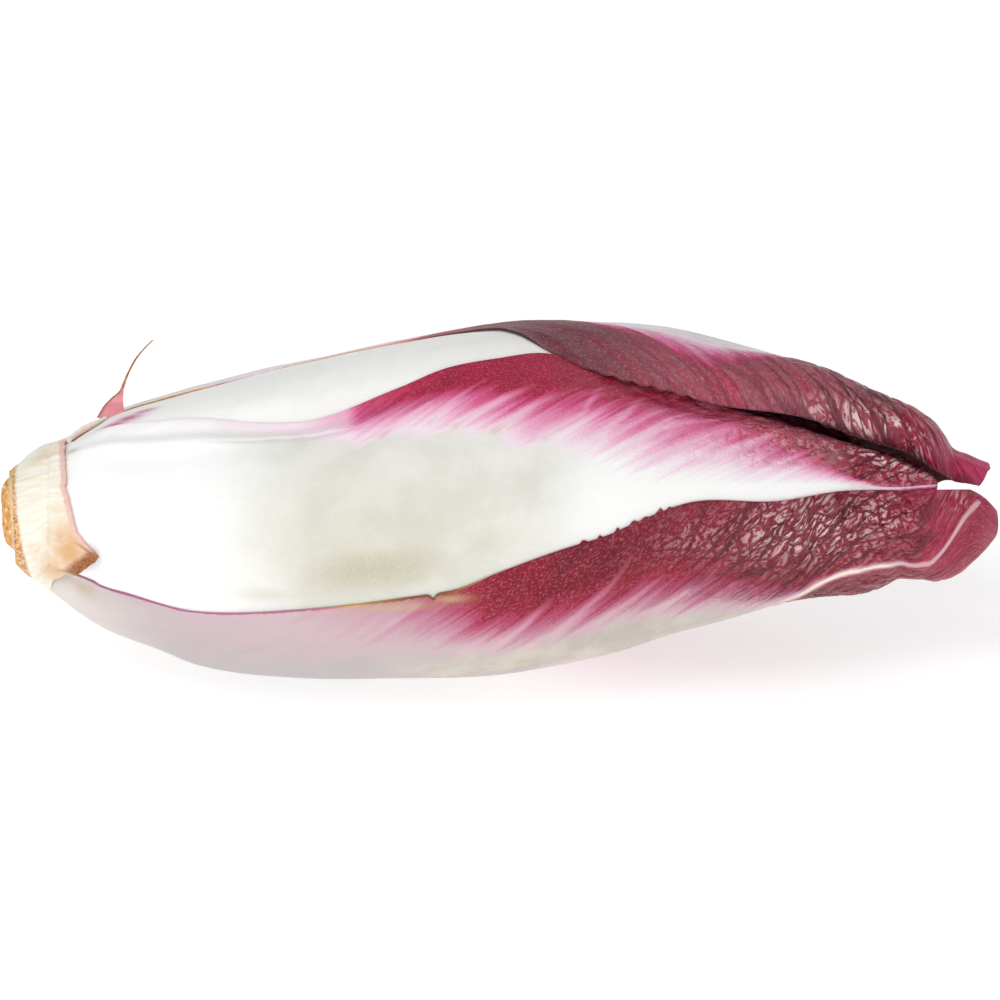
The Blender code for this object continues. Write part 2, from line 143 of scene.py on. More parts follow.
@dataclass
class Leaf:
    """One leaf on the chart, as in the solids, and its looks. All lists are stations along x."""

    name: str
    node: str
    slot: str
    rib: list
    start: float
    end: float
    depth: list
    low: list = stations()  # turns of the margins, and of the rib above. Without them, the width sets them
    high: list = stations()
    bow: float = 14.0  # how much further the tip reaches than the margins
    skew: float = 0.0
    width: float = 1.0
    radius: list = stations(*HEAD_RADIUS)
    roll_low: list = stations(*FLAT)  # how high the margin's roll stands
    sink_high: list = stations((-75, SINK), (75, SINK))
    torn: list = stations()
    gap: float = 0.07
    lamina: float = LAMINA
    thickness: float = 1.0
    rows: int = 120
    columns: int = 60
    nicks_low: list = stations()  # teeth and notches: x, half width, height
    nicks_high: list = stations()
    white_low: list = stations()  # turn at which the rib's white ends
    white_high: list = stations()
    blush_low: list = stations((-60, 0.0), (-10, 0.3), (20, 0.85), (75, 0.9))  # how red it is past the white
    blush_high: list = stations((-60, 0.0), (-10, 0.3), (20, 0.85), (75, 0.9))
    fringe: list = stations((-60, 8.0), (10, 7.0), (40, 3.0), (75, 1.0))  # how broadly white turns to red
    pucker: list = stations((-75, 0.0), (0, 0.05), (30, 0.5), (55, 1.0), (75, 0.6))
    bloom: list = stations(*FLAT)  # a matt grey bloom over the red
    pale_veins: list = stations()  # paths of (x, turn)
    stains: list = stations()  # x, turn, length, breadth, strength
    stain_tone: tuple = (198, 180, 136)
    line_low: list = stations(*FLAT)  # how wide a coloured line along the margin is
    line_high: list = stations(*FLAT)
    line_tone: list = stations(*FLAT)  # as in LINE_TONES
    flesh: tuple = ((236, 236, 230), (247, 247, 244))  # the two whites of the rib
    reds: list = stations(*PINK_REDS)
    net_dark_from: float = -80.0  # the veins' net is pale up to here, and darker past it: partly the veins' own colour, partly painted shade in its grooves
    shaded: list = stations((-75, 400), (75, 400))  # turn from which painted shade makes it nearly black
    painted_shade_low: list = stations(*FLAT)  # how wide a strip of painted shade along the low margin is
    shines: list = stations()  # where painted glints lie on the puckers and they are glossier, as the stains
    tints: list = stations()  # other whites: where along x they begin and are full, and the colour
    seed: float = 0.0


def smooth(curve, x):
    """A smooth curve through its stations that doesn't swing past them, read at x."""
    at, value = np.array(curve, float).T
    rate = np.diff(value) / np.diff(at)
    before, after = np.append(rate[0], rate), np.append(rate, rate[-1])
    both = before + after
    slope = np.where(before * after > 0, 2 * before * after / np.where(both == 0, 1, both), 0)
    x = np.clip(x, at[0], at[-1])
    i = np.clip(np.searchsorted(at, x, side="right") - 1, 0, len(at) - 2)
    width = at[i + 1] - at[i]
    t = (x - at[i]) / width
    from_left = (1 + 2 * t) * (1 - t) ** 2 * value[i] + t * (1 - t) ** 2 * width * slope[i]
    from_right = t * t * (3 - 2 * t) * value[i + 1] + t * t * (t - 1) * width * slope[i + 1]
    return from_left + from_right


def ramp(low, high, x):
    """0 up to low, 1 from high, and a smooth step between them."""
    t = np.clip((x - low) / (high - low), 0, 1)
    return t * t * (3 - 2 * t)


def place(x, turn, radius):
    """The point, in metres, at x along the axis and at that turn and radius round it."""
    lift = math.radians(FRONT_LIFT)
    angle = np.radians(turn) + lift
    rise = smooth(AXIS_RISE, x)
    y = rise * math.sin(lift) - radius * np.cos(angle) + CENTRE[1]
    z = rise * math.cos(lift) + radius * np.sin(angle) + AXIS_HEIGHT
    z = np.maximum(z, 0)
    return np.stack(np.broadcast_arrays(x + CENTRE[0], y, z), axis=-1) * MM


def lean(turn, radius):
    """How far along x the slanted cut moves what is at that turn and radius."""
    return radius * (CUT_TURN * np.cos(np.radians(turn)) - CUT_LEAN * np.sin(np.radians(turn)))


# Irregular patterns.

LATTICE = np.random.default_rng(11).random((64, 64, 3))


def lattice(i, j):
    return LATTICE[i.astype(int) % 64, j.astype(int) % 64]


def wobble(a, b):
    """A smooth irregular field from -1 to 1, whose humps are about 1 across."""
    i, j = np.floor(a), np.floor(b)
    s, t = a - i, b - j
    s, t = s * s * (3 - 2 * s), t * t * (3 - 2 * t)
    near = lattice(i, j)[..., 2] * (1 - t) + lattice(i, j + 1)[..., 2] * t
    far = lattice(i + 1, j)[..., 2] * (1 - t) + lattice(i + 1, j + 1)[..., 2] * t
    return 2 * (near * (1 - s) + far * s) - 1


def net(a, b):
    """How far a place is from the walls of an irregular net with meshes about 1 across: 0 on a wall."""
    i, j = np.floor(a), np.floor(b)
    first = np.full(a.shape, 9.0)
    second = first.copy()
    for di in (-1, 0, 1):
        for dj in (-1, 0, 1):
            seed = lattice(i + di, j + dj)
            away = np.hypot(i + di + seed[..., 0] - a, j + dj + seed[..., 1] - b)
            second = np.minimum(second, np.maximum(first, away))
            first = np.minimum(first, away)
    return second - first


def near_paths(paths, x, turn, around, width):
    """1 on any of the paths, given as (x, turn), and less away from them and towards their far ends."""
    most = np.zeros_like(x)
    for path in paths:
        for n, ((x0, turn0), (x1, turn1)) in enumerate(zip(path, path[1:])):
            a, b = x - x0, np.radians(turn - turn0) * around
            c, d = x1 - x0, np.radians(turn1 - turn0) * around
            t = np.clip((a * c + b * d) / (c * c + d * d), 0, 1)
            away = np.hypot(a - t * c, b - t * d)
            along = (n + t) / (len(path) - 1)
            strength = (1 - 0.75 * along) * np.exp(-((away / (width * (1.25 - 0.7 * along))) ** 2))
            most = np.maximum(most, strength)
    return most


# The chart.


def shifted(chart, axis, steps):
    """The chart moved by some steps: round and round along the turns, stopped at its ends along x."""
    if axis == 1:
        return np.roll(chart, steps, axis=1)
    index = np.clip(np.arange(chart.shape[0]) - steps, 0, chart.shape[0] - 1)
    return chart[index]


def over_window(chart, steps, combine):
    """Each place's neighbours within some steps, combined into one, along x and then along the turns."""
    for axis in (0, 1):
        near = range(-steps[axis], steps[axis] + 1)
        chart = combine([shifted(chart, axis, n) for n in near], axis=0)
    return chart


def drape(chart, steps):
    """A smooth sheet that lies on the chart and goes under it nowhere."""
    highest = over_window(chart, [2 * n for n in steps], np.max)
    return over_window(over_window(highest, steps, np.mean), steps, np.mean)


def read_chart(chart, x, turn):
    """The chart's value at any place, linear between its points."""
    i = np.clip((x - CHART_X[0]) / (CHART_X[1] - CHART_X[0]), 0, len(CHART_X) - 1.001)
    j = ((turn - CHART_TURN[0]) / (CHART_TURN[1] - CHART_TURN[0])) % len(CHART_TURN)
    i0, j0 = np.floor(i).astype(int), np.floor(j).astype(int) % len(CHART_TURN)
    j1 = (j0 + 1) % len(CHART_TURN)
    a, b = i - i0, j - np.floor(j)
    near = chart[i0, j0] * (1 - b) + chart[i0, j1] * b
    far = chart[i0 + 1, j0] * (1 - b) + chart[i0 + 1, j1] * b
    return near * (1 - a) + far * a


# Leaves on the chart. u is 0 on a leaf's rib, -1 on its low margin and 1 on its high one.


def by_side(u, low, high):
    return np.where(u < 0, low, high)


def half_turn(leaf, x, side):
    """How many degrees lie between a leaf's rib and its margin on one side, -1 for low and 1 for high."""
    margin = leaf.low if side < 0 else leaf.high
    wave = WAVE * np.sin(2 * math.pi * x / WAVE_LENGTH + leaf.end) * ramp(-10, 30, x)
    around = smooth(leaf.radius, x) - smooth(leaf.depth, x) / 2
    if margin:
        half = side * (smooth(margin, x) - smooth(leaf.rib, x))
    else:
        share = (x - leaf.start) / (leaf.end - leaf.start)
        half = np.degrees(smooth(HALF_WIDTH, share) * leaf.width / around)
    for at, wide, high in leaf.nicks_low if side < 0 else leaf.nicks_high:
        wave = wave + high * np.clip(1 - np.abs(x - at) / wide, 0, 1) ** NICK_POWER
    return np.maximum(half + np.degrees(wave / around), LEAST_HALF_TURN)


def half_at(leaf, x, u):
    """The half turn on the side of each place."""
    return by_side(u, half_turn(leaf, x, -1), half_turn(leaf, x, 1))


def across(leaf, x, turn):
    """u at places on the chart."""
    off = (turn - smooth(leaf.rib, x) + 180) % 360 - 180
    return off / half_at(leaf, x, off)


def reach(leaf, u):
    """How far along x a leaf goes at u."""
    if leaf.torn:
        ragged = 0.28 * wobble(u * 13 + 5, u * 0 + 3.3) + 0.1 * wobble(u * 41, u * 0 + 8.1)
        return np.interp(u, *np.array(leaf.torn).T) + ragged
    return leaf.end - leaf.bow * u * u - leaf.skew * u


def foot(leaf, u):
    """Where along x a leaf begins at u: a torn one at the cut face, with its lean."""
    if not leaf.torn:
        return leaf.start + 0 * u
    turn = leaf.rib[0][1] + u * half_turn(leaf, leaf.start, 1)
    return leaf.start + lean(turn, smooth(leaf.radius, leaf.start))


def thickness(leaf, x, u, lamina):
    """Thickest on the rib, and thin at the sides."""
    if leaf.torn:
        return lamina + 0 * u
    half = np.radians(half_at(leaf, x, u))
    from_rib = np.abs(u) * half * smooth(leaf.radius, x)
    rib = np.maximum(smooth(RIB_THICKNESS, x) * leaf.thickness - lamina, 0)
    return lamina + rib * np.exp(-((from_rib / smooth(RIB_HALF_WIDTH, x)) ** 2)) * (1 - u**4)


def survey(leaf, x, turn, u):
    """What the relief and the colours of a leaf follow, at places on it, in millimetres."""
    around = smooth(leaf.radius, x)
    half = half_at(leaf, x, u)
    off = u * np.radians(half) * around
    white = RIB_WHITE * smooth(RIB_HALF_WIDTH, x)
    past = np.abs(off) - white
    if leaf.white_low:
        past = np.where(u < 0, np.radians(smooth(leaf.white_low, x) - turn) * around, past)
    if leaf.white_high:
        past = np.where(u >= 0, np.radians(turn - smooth(leaf.white_high, x)) * around, past)
    blush = by_side(u, smooth(leaf.blush_low, x), smooth(leaf.blush_high, x))
    fringe = smooth(leaf.fringe, x)
    edge = (1 - np.abs(u)) * np.radians(half) * around
    return {
        "x": x,
        "off": off,
        "lateral": x - VEIN_SLANT * np.abs(off) + VEIN_CURVE * off * off,
        "edge": np.minimum(edge, np.maximum(reach(leaf, u) - x, 0)),
        "past": np.clip(past / fringe, -2, 3),
        "blush": blush,
        "blade": ramp(-2, 3, past),
        "pale": near_paths(leaf.pale_veins, x, turn, around, PALE_VEIN),
        "pucker": smooth(leaf.pucker, x) * ramp(-0.5, 2, past),
    }


def relief(leaf, at):
    """How far a leaf's outer side stands out from its plain form."""
    seed = leaf.seed
    flutes = FLUTES * wobble(at["off"] * 0.85 + seed, at["x"] * 0.03) * (1 - at["blade"])
    swell = SWELL * wobble(at["x"] * 0.09 + seed, at["off"] * 0.16)
    veins = wobble(at["lateral"] * 0.42 + seed, at["off"] * 0.05 + seed)
    veins = VEINS * (np.abs(veins) ** 0.6 - 0.5) * at["blade"] * (0.3 + at["pucker"])
    meshes = net(at["x"] * 0.3 + seed, at["off"] * 0.34 + seed * 2)
    meshes = PUCKERS * (1 - np.exp(-4.0 * meshes)) * at["pucker"]
    return (flutes + swell + veins + meshes - PALE_GROOVE * at["pale"]) * ramp(0, 1.2, at["edge"])


def lay(leaf, chart):
    """The chart of a leaf's inner side as it lies on the leaves inside it, and their chart with it added."""
    x, turn = np.meshgrid(CHART_X, CHART_TURN, indexing="ij")
    u = across(leaf, x, turn)
    inside = np.clip(np.abs(u), 0, 1)
    form = smooth(HEAD_RADIUS, x)
    loose = 0 if leaf.torn else ramp(*LOOSE_UP_TO, inside)
    under = chart + (drape(chart - form, DRAPE_STEPS) + form - chart) * loose + leaf.gap
    held = np.clip(u, -1, 1)
    thick = thickness(leaf, x, held, leaf.lamina)
    free = smooth(leaf.radius, x) - smooth(leaf.depth, x)
    free = free - np.maximum(smooth(RIB_THICKNESS, x) * leaf.thickness, HEART_LAMINA)
    if leaf.torn:
        at_turn, broad = TORN_DIP_TURN
        free = free - TORN_DIP * np.exp(-(((turn - at_turn) / broad) ** 2))
    else:
        free = free + thickness(leaf, x, held, HEART_LAMINA) - thick
        free = free - by_side(u, SINK, smooth(leaf.sink_high, x)) * ramp(SINK_FROM, 1, inside)
    meeting = MEETING[0] + (MEETING[1] - MEETING[0]) * ramp(*MEETING_FROM, inside)
    inner = under + np.logaddexp(0, meeting * (free - under)) / meeting
    roll = by_side(u, smooth(leaf.roll_low, x), 0)
    inner = inner + roll * ramp(ROLL_FROM, ROLL_CREST, inside) * (1 - ROLL_BACK * ramp(ROLL_CREST, 1, inside))
    covered = (np.abs(u) <= 1) & (x >= foot(leaf, u)) & (x <= reach(leaf, u))
    outer = inner + thick + relief(leaf, survey(leaf, x, turn, held))
    return inner, np.where(covered, outer, chart)


def turned_chart(*profiles):
    """The chart of the turned solids, which the innermost leaves lie on."""
    x, turn = np.meshgrid(CHART_X, CHART_TURN, indexing="ij")
    radius = np.zeros_like(x)
    for profile in profiles:
        at, value = np.array(profile[1:], float).T
        widest = value.max()
        straight = x - lean(turn, widest) * (x < -60)
        radius = np.maximum(radius, np.interp(straight, at, value, left=0, right=0))
    return radius


# Meshes.


def piece(name, mesh, node, look):
    """A mesh as a piece that stands for a node of the frame and rides with it."""
    mesh.materials.append(look)
    mesh.shade_smooth()
    obj = bpy.data.objects.new(name, mesh)
    bpy.context.scene.collection.objects.link(obj)
    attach(obj, "root")
    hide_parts(node)
    return obj


def shell_faces(rows, columns):
    """The faces of a closed sheet: its outer side, its inner side, and the rim between them."""
    index = np.arange((rows + 1) * (columns + 1)).reshape(rows + 1, columns + 1)
    a, b, c, d = index[:-1, :-1], index[1:, :-1], index[1:, 1:], index[:-1, 1:]
    side = np.stack([a, b, c, d], axis=-1).reshape(-1, 4)
    count = index.size
    border = np.concatenate([index[0, :-1], index[:-1, -1], index[-1, :0:-1], index[:0:-1, 0]])
    onward = np.roll(border, -1)
    rim = np.stack([border, onward, onward + count, border + count], axis=-1)
    return np.concatenate([side[:, ::-1], side + count, rim])


def add_sheet(leaf, name, outer, inner, fields, look):
    """A closed sheet between two grids of points, with its fields as attributes, as a piece of a leaf."""
    rows, columns = outer.shape[0] - 1, outer.shape[1] - 1
    points = np.concatenate([outer.reshape(-1, 3), inner.reshape(-1, 3)])
    mesh = bpy.data.meshes.new(name)
    mesh.from_pydata(points.tolist(), [], shell_faces(rows, columns).tolist())
    mesh.update()
    back = np.repeat([0.0, 1.0], outer.shape[0] * outer.shape[1])
    add_field(mesh, "back", back)
    for key, value in fields.items():
        add_field(mesh, key, np.tile(value.reshape(-1), 2))
    return piece(name, mesh, leaf.node, look)


def add_field(mesh, name, values):
    data = mesh.attributes.new(name, "FLOAT", "POINT").data
    data.foreach_set("value", np.ascontiguousarray(values, np.float32))


def rounded(thick, edge):
    """A sheet's thickness with its margins rounded."""
    t = np.clip(edge / EDGE_ROUND, 0, 1)
    return EDGE_LEAST + (thick - EDGE_LEAST) * np.sqrt(1 - (1 - t) ** 2)


def stain_field(stains, x, turn, around):
    """How strongly any of the stains, each an ellipse with soft borders, covers the places."""
    total = np.zeros_like(x)
    for at, at_turn, long, broad, strong in stains:
        far = ((x - at) / long) ** 2 + (np.radians(turn - at_turn) * around / broad) ** 2
        total = np.maximum(total, strong * np.exp(-far))
    return total


def spread(leaf, v, u):
    """u, x and turn of a leaf's points, from where its rows and columns are."""
    v, u = np.meshgrid(v, u, indexing="ij")
    x = foot(leaf, u) + (reach(leaf, u) - foot(leaf, u)) * v
    return u, x, smooth(leaf.rib, x) + u * half_at(leaf, x, u)


def add_leaf(leaf, inner, look):
    """A leaf with its rows closest together at its tip, and its columns at its margins."""
    t = np.linspace(-1, 1, leaf.columns + 1)
    v = 1 - (1 - np.linspace(0, 1, leaf.rows + 1)) ** 1.2
    u, x, turn = spread(leaf, v, t + 0.5 * np.sin(math.pi * t) / math.pi)
    at = survey(leaf, x, turn, u)
    radius = read_chart(inner, x, turn)
    thick = thickness(leaf, x, u, leaf.lamina)
    taper = thick - rounded(thick, at["edge"])
    outer = radius + thick - OUTER_TAPER * taper + relief(leaf, at)
    around = smooth(leaf.radius, x)
    line = by_side(u, smooth(leaf.line_low, x), smooth(leaf.line_high, x))
    fields = {
        "along": x,
        **{key: at[key] for key in ("off", "lateral", "edge", "past", "blush", "pale", "pucker")},
        "stain": stain_field(leaf.stains, x, turn, around),
        "bloom": smooth(leaf.bloom, x),
        # Painted shade: nearly black past the shaded turn, in the crevice under the leaf above, and darker in
        # a strip along the low margin.
        "shaded": np.maximum(
            ramp(-1.0, 0.3, np.radians(turn - smooth(leaf.shaded, x)) * around),
            0.7 * ramp(0.4, -0.6, at["edge"] - smooth(leaf.painted_shade_low, x)) * (u < 0),
        ),
        # Where painted glints go, and where the gloss is raised.
        "shine": stain_field(leaf.shines, x, turn, around),
        "line": np.maximum(line, 0.01),
        "line_tone": smooth(leaf.line_tone, x),
    }
    inner = radius + (1 - OUTER_TAPER) * taper
    return add_sheet(leaf, leaf.name, place(x, turn, outer), place(x, turn, inner), fields, look)


# Materials.


def rgb(red, green, blue):
    """A colour given in the 0 to 255 steps of a screen, as the shader's linear values."""
    steps = [c / 255 for c in (red, green, blue)]
    return (*(c / 12.92 if c < 0.0404 else ((c + 0.055) / 1.055) ** 2.4 for c in steps), 1.0)


class Graph:
    """A material's nodes, added one by one. A value is a number, a colour or another node's output."""

    def __init__(self, name, **fixed):
        self.made = bpy.data.materials.new(name)
        self.made.use_nodes = True
        self.tree = self.made.node_tree
        self.shader = self.tree.nodes["Principled BSDF"]
        for key, value in fixed.items():
            self.shader.inputs[key.replace("_", " ")].default_value = value

    def put(self, node, given):
        """Puts values into a node's inputs, each by its name or number."""
        for key, value in given.items():
            if isinstance(value, bpy.types.NodeSocket):
                self.tree.links.new(value, node.inputs[key])
            else:
                node.inputs[key].default_value = value

    def add(self, kind, given=(), output=0, **settings):
        """An output of a new node, with values for its inputs: by name, or for the first ones in turn."""
        node = self.tree.nodes.new("ShaderNode" + kind)
        for key, value in settings.items():
            setattr(node, key, value)
        self.put(node, given if isinstance(given, dict) else dict(enumerate(given)))
        return node.outputs[output]

    def field(self, name):
        return self.add("Attribute", output="Fac", attribute_name=name)

    def math(self, operation, *values):
        return self.add("Math", values, operation=operation)

    def times(self, a, b):
        return self.math("MULTIPLY", a, b)

    def plus(self, total, value, scale):
        """The total with the value, times a scale, added."""
        return self.math("MULTIPLY_ADD", value, scale, total)

    def sway(self, total, noise, scale):
        """The total with a noise added that goes as far below it as above."""
        return self.plus(total, self.math("SUBTRACT", noise, 0.5), scale)

    def clamped(self, value):
        return self.add("Clamp", (value,))

    def between(self, value, low, high, out_low=0.0, out_high=1.0, kind="SMOOTHSTEP"):
        return self.add("MapRange", (value, low, high, out_low, out_high), interpolation_type=kind)

    def vector(self, x, y, z):
        return self.add("CombineXYZ", (x, y, z))

    def scaled(self, vector, scale):
        return self.add("VectorMath", (vector, scale), operation="MULTIPLY")

    def noise(self, vector, scale=1.0, detail=2.0, roughness=0.5, distortion=0.0):
        given = {"Vector": vector, "Scale": scale, "Detail": detail, "Roughness": roughness}
        return self.add("TexNoise", {**given, "Distortion": distortion}, "Fac")

    def cells(self, vector):
        """How far a place is from the walls of cells about 1 across."""
        given = {"Vector": vector, "Scale": 1.0}
        return self.add("TexVoronoi", given, "Distance", feature="DISTANCE_TO_EDGE")

    def mix(self, amount, a, b):
        a, b = (rgb(*value) if isinstance(value, tuple) else value for value in (a, b))
        return self.add("Mix", {"Factor": amount, 6: a, 7: b}, 2, data_type="RGBA")

    def ramp(self, amount, stops):
        colour = self.add("ValToRGB", (amount,))
        elements = colour.node.color_ramp.elements
        while len(elements) < len(stops):
            elements.new(0.5)
        for element, (position, *shade) in zip(elements, stops):
            element.position = position
            element.color = rgb(*shade)
        return colour

    def bump(self, height, distance, strength=1.0, below=None):
        given = {"Strength": strength, "Distance": distance, "Height": height}
        return self.add("Bump", given if below is None else {**given, "Normal": below})

    def finish(self, colour, roughness, normal):
        self.put(self.shader, {"Base Color": colour, "Roughness": roughness, "Normal": normal})
        return self.made


BLOOMS = ((122, 84, 92), (160, 104, 116))  # the bloom's tone towards the cut and towards the tips
# The lines along the margins: grey, magenta, orange, tan and dark brown.
LINE_TONES = [
    (0.0, 186, 168, 160), (0.3, 204, 116, 164), (0.6, 232, 174, 96), (0.8, 150, 98, 58), (1.0, 84, 56, 44),
]


def leaf_material(leaf):
    """White flesh that blushes to red along its veins, with a grain, puckers, pale veins and worn margins,
    and painted sheen, glints and shade.
    """
    # The specular level given here is the mean of the one that is linked below, for where a link isn't read.
    g = Graph(leaf.name, Subsurface_Weight=0.1, Subsurface_Scale=0.001, Specular_IOR_Level=0.25)
    g.shader.inputs["Subsurface Radius"].default_value = (1.0, 0.7, 0.6)
    along, off, lateral = g.field("along"), g.field("off"), g.field("lateral")
    pucker, pale, shine, shaded = g.field("pucker"), g.field("pale"), g.field("shine"), g.field("shaded")
    veins, flat = g.vector(lateral, off, leaf.seed), g.vector(along, off, leaf.seed)
    broad = g.noise(g.scaled(veins, (0.3, 0.07, 1.0)), detail=3.0)
    narrow = g.noise(g.scaled(veins, (1.1, 0.11, 1.0)), detail=3.0, roughness=0.6)
    grain = g.noise(flat, scale=3.4, detail=3.0, roughness=0.7)
    dash = g.noise(g.scaled(veins, (5.0, 3.2, 1.0)), detail=1.0)
    blotch = g.noise(flat, scale=0.12, detail=4.0, roughness=0.6)

    # How red it is, from white at 0 to the darkest red at 1, and its colour for that.
    past = g.field("past")
    for noise, scale in ((broad, 1.15), (narrow, 0.3), (grain, 0.55)):
        past = g.sway(past, noise, scale)
    past = g.plus(past, pale, -0.25)
    tone = g.sway(g.sway(1.0, narrow, 0.35), blotch, 0.4)
    tone = g.plus(tone, pale, g.between(narrow, 0.25, 0.7, -0.12, -0.4))
    deep = g.times(g.between(past, -0.4, 1.25, kind="LINEAR"), g.field("blush"))
    amount = g.clamped(g.times(deep, tone))
    white = g.mix(g.between(blotch, 0.35, 0.7), *leaf.flesh)
    for begins, full, shade in leaf.tints:
        white = g.mix(g.between(along, begins, full), white, shade)
    colour = g.mix(g.between(amount, 0.0, 0.14), white, g.ramp(amount, leaf.reds))

    # The bloom, light dashes, pale veins and dark specks.
    bloom = g.times(g.field("bloom"), g.between(broad, 0.3, 0.7, 0.4, 1.0))
    bloom = g.times(bloom, g.between(amount, 0.4, 0.8))
    colour = g.mix(bloom, colour, g.mix(g.between(along, 12, 36), *BLOOMS))
    red = g.between(amount, 0.35, 0.7)
    light = g.times(g.between(dash, 0.55, 0.7), g.times(red, 0.34))
    light = g.math("MAXIMUM", light, g.times(pale, g.between(narrow, 0.25, 0.6, 0.7, 0.35)))
    colour = g.mix(light, colour, (232, 168, 188))
    dark = g.times(g.between(grain, 0.42, 0.26), g.times(red, 0.6))
    colour = g.mix(dark, colour, (74, 18, 34))

    # The net of veins between the puckers, partly painted shade where it is dark; a painted sheen and painted
    # glints on the puckers; and the painted shade between two leaves.
    drift = g.noise(flat, scale=0.3)
    aside = g.noise(g.vector(off, along, leaf.seed + 9.0), scale=0.3)
    warped = g.vector(g.plus(along, drift, 3.0), g.plus(off, aside, 3.0), leaf.seed)
    cells = g.cells(g.scaled(warped, (0.42, 0.56, 0.0)))
    small = g.cells(g.scaled(warped, (1.3, 1.5, 0.0)))
    branches = g.cells(g.scaled(veins, (0.2, 0.075, 1.0)))
    # The net's walls: pale veins, then dark lines that are partly the veins' colour and partly painted shade
    # in the grooves between the puckers.
    dark_net = g.between(along, leaf.net_dark_from - 4, leaf.net_dark_from + 4)
    groove = g.math("MAXIMUM", g.between(cells, 0.11, 0.03, 0.0, 0.5), g.between(branches, 0.085, 0.03))
    groove = g.times(g.times(groove, pucker), g.plus(0.3, dark_net, 0.5))
    colour = g.mix(groove, colour, g.mix(dark_net, (232, 176, 192), (74, 12, 30)))
    # A painted sheen on the tops of the puckers.
    patch = g.between(g.noise(flat, scale=0.45), 0.44, 0.6)
    painted_sheen = g.times(g.between(cells, 0.12, 0.42), g.times(g.times(pucker, pucker), patch))
    colour = g.mix(g.times(painted_sheen, 0.14), colour, (236, 176, 186))
    # Painted glints inside the meshes of the net, where the leaf's shines put them.
    spark = g.noise(g.scaled(warped, (1.0, 1.3, 1.0)), scale=1.2, detail=3.0, roughness=0.6)
    inside = g.between(g.math("MINIMUM", cells, g.times(branches, 3.0)), 0.05, 0.16)
    painted_glint = g.times(g.times(inside, g.between(spark, 0.46, 0.54)), shine)
    colour = g.mix(g.times(painted_glint, 0.88), colour, (244, 214, 214))
    # Painted shade, nearly black, in the crevice under the leaf above.
    colour = g.mix(g.times(shaded, 0.92), colour, (34, 5, 12))

    # Stains, the line along a margin, and the paler inner side.
    stain = g.times(g.field("stain"), g.between(grain, 0.3, 0.7, 0.6, 1.0))
    colour = g.mix(g.clamped(stain), colour, leaf.stain_tone)
    line = g.times(g.field("line"), g.between(narrow, 0.3, 0.7, 0.6, 1.5))
    near = g.math("DIVIDE", g.field("edge"), line)
    colour = g.mix(g.between(near, 1.2, 0.7), colour, g.ramp(g.field("line_tone"), LINE_TONES))
    colour = g.mix(g.times(g.field("back"), 0.35), colour, (247, 247, 244))

    rough = g.plus(g.between(grain, 0.2, 0.8, 0.42, 0.52), pucker, -0.2)
    gloss = g.plus(g.plus(0.2, shine, 0.12), pucker, 0.1)
    g.put(g.shader, {"Specular IOR Level": g.times(gloss, g.plus(1.0, shaded, -1.0))})
    height = g.plus(g.between(cells, 0.0, 0.5), g.between(small, 0.0, 0.4), 0.2)
    bump = g.bump(g.times(height, pucker), 0.0005)
    bump = g.bump(grain, 0.00008, 0.6, bump)
    bump = g.bump(narrow, 0.0001, 0.35, bump)
    return g.finish(colour, g.clamped(rough), bump)


def heart_material(name):
    """The pale yellow of leaves that grew in the dark, redder towards their tips."""
    g = Graph(name, Subsurface_Weight=0.15, Subsurface_Scale=0.001)
    at = g.add("TexCoord", output="Object")
    grain = g.noise(at, scale=900.0, detail=3.0)
    streaks = g.noise(g.scaled(at, (60.0, 500.0, 500.0)), detail=3.0)
    tip = g.between(g.add("SeparateXYZ", (at,)), 0.0, 0.05)
    amount = g.clamped(g.times(tip, g.between(streaks, 0.3, 0.6, 0.35, 1.0)))
    colour = g.mix(amount, g.mix(grain, (246, 238, 190), (240, 226, 160)), (170, 60, 90))
    return g.finish(colour, g.between(grain, 0.3, 0.7, 0.4, 0.55), g.bump(grain, 0.0001, 0.4))


def stub_material(name):
    """Cut flesh that has dried orange-brown in rings, over the paler side of the stub."""
    g = Graph(name, Subsurface_Weight=0.08, Subsurface_Scale=0.001)
    ring, turn, cut = g.field("ring"), g.field("turn"), g.field("cut")
    around = g.vector(g.times(turn, 0.05), ring, 3.0)
    rings = g.noise(g.scaled(around, (1.0, 1.5, 1.0)), detail=3.0, distortion=1.2)
    spots = g.noise(g.scaled(around, (3.0, 3.0, 1.0)), detail=4.0, roughness=0.7)
    dried = [(0.3, 150, 84, 34), (0.42, 224, 152, 70), (0.6, 240, 190, 118), (0.72, 250, 232, 196)]
    dried = g.ramp(rings, dried)
    dried = g.mix(g.between(spots, 0.62, 0.72), dried, (104, 56, 26))
    colour = g.mix(cut, (248, 236, 204), dried)
    bump = g.bump(rings, 0.0004, 0.6, g.bump(spots, 0.0003, 0.5))
    return g.finish(colour, g.between(spots, 0.2, 0.8, 0.55, 0.8), bump)


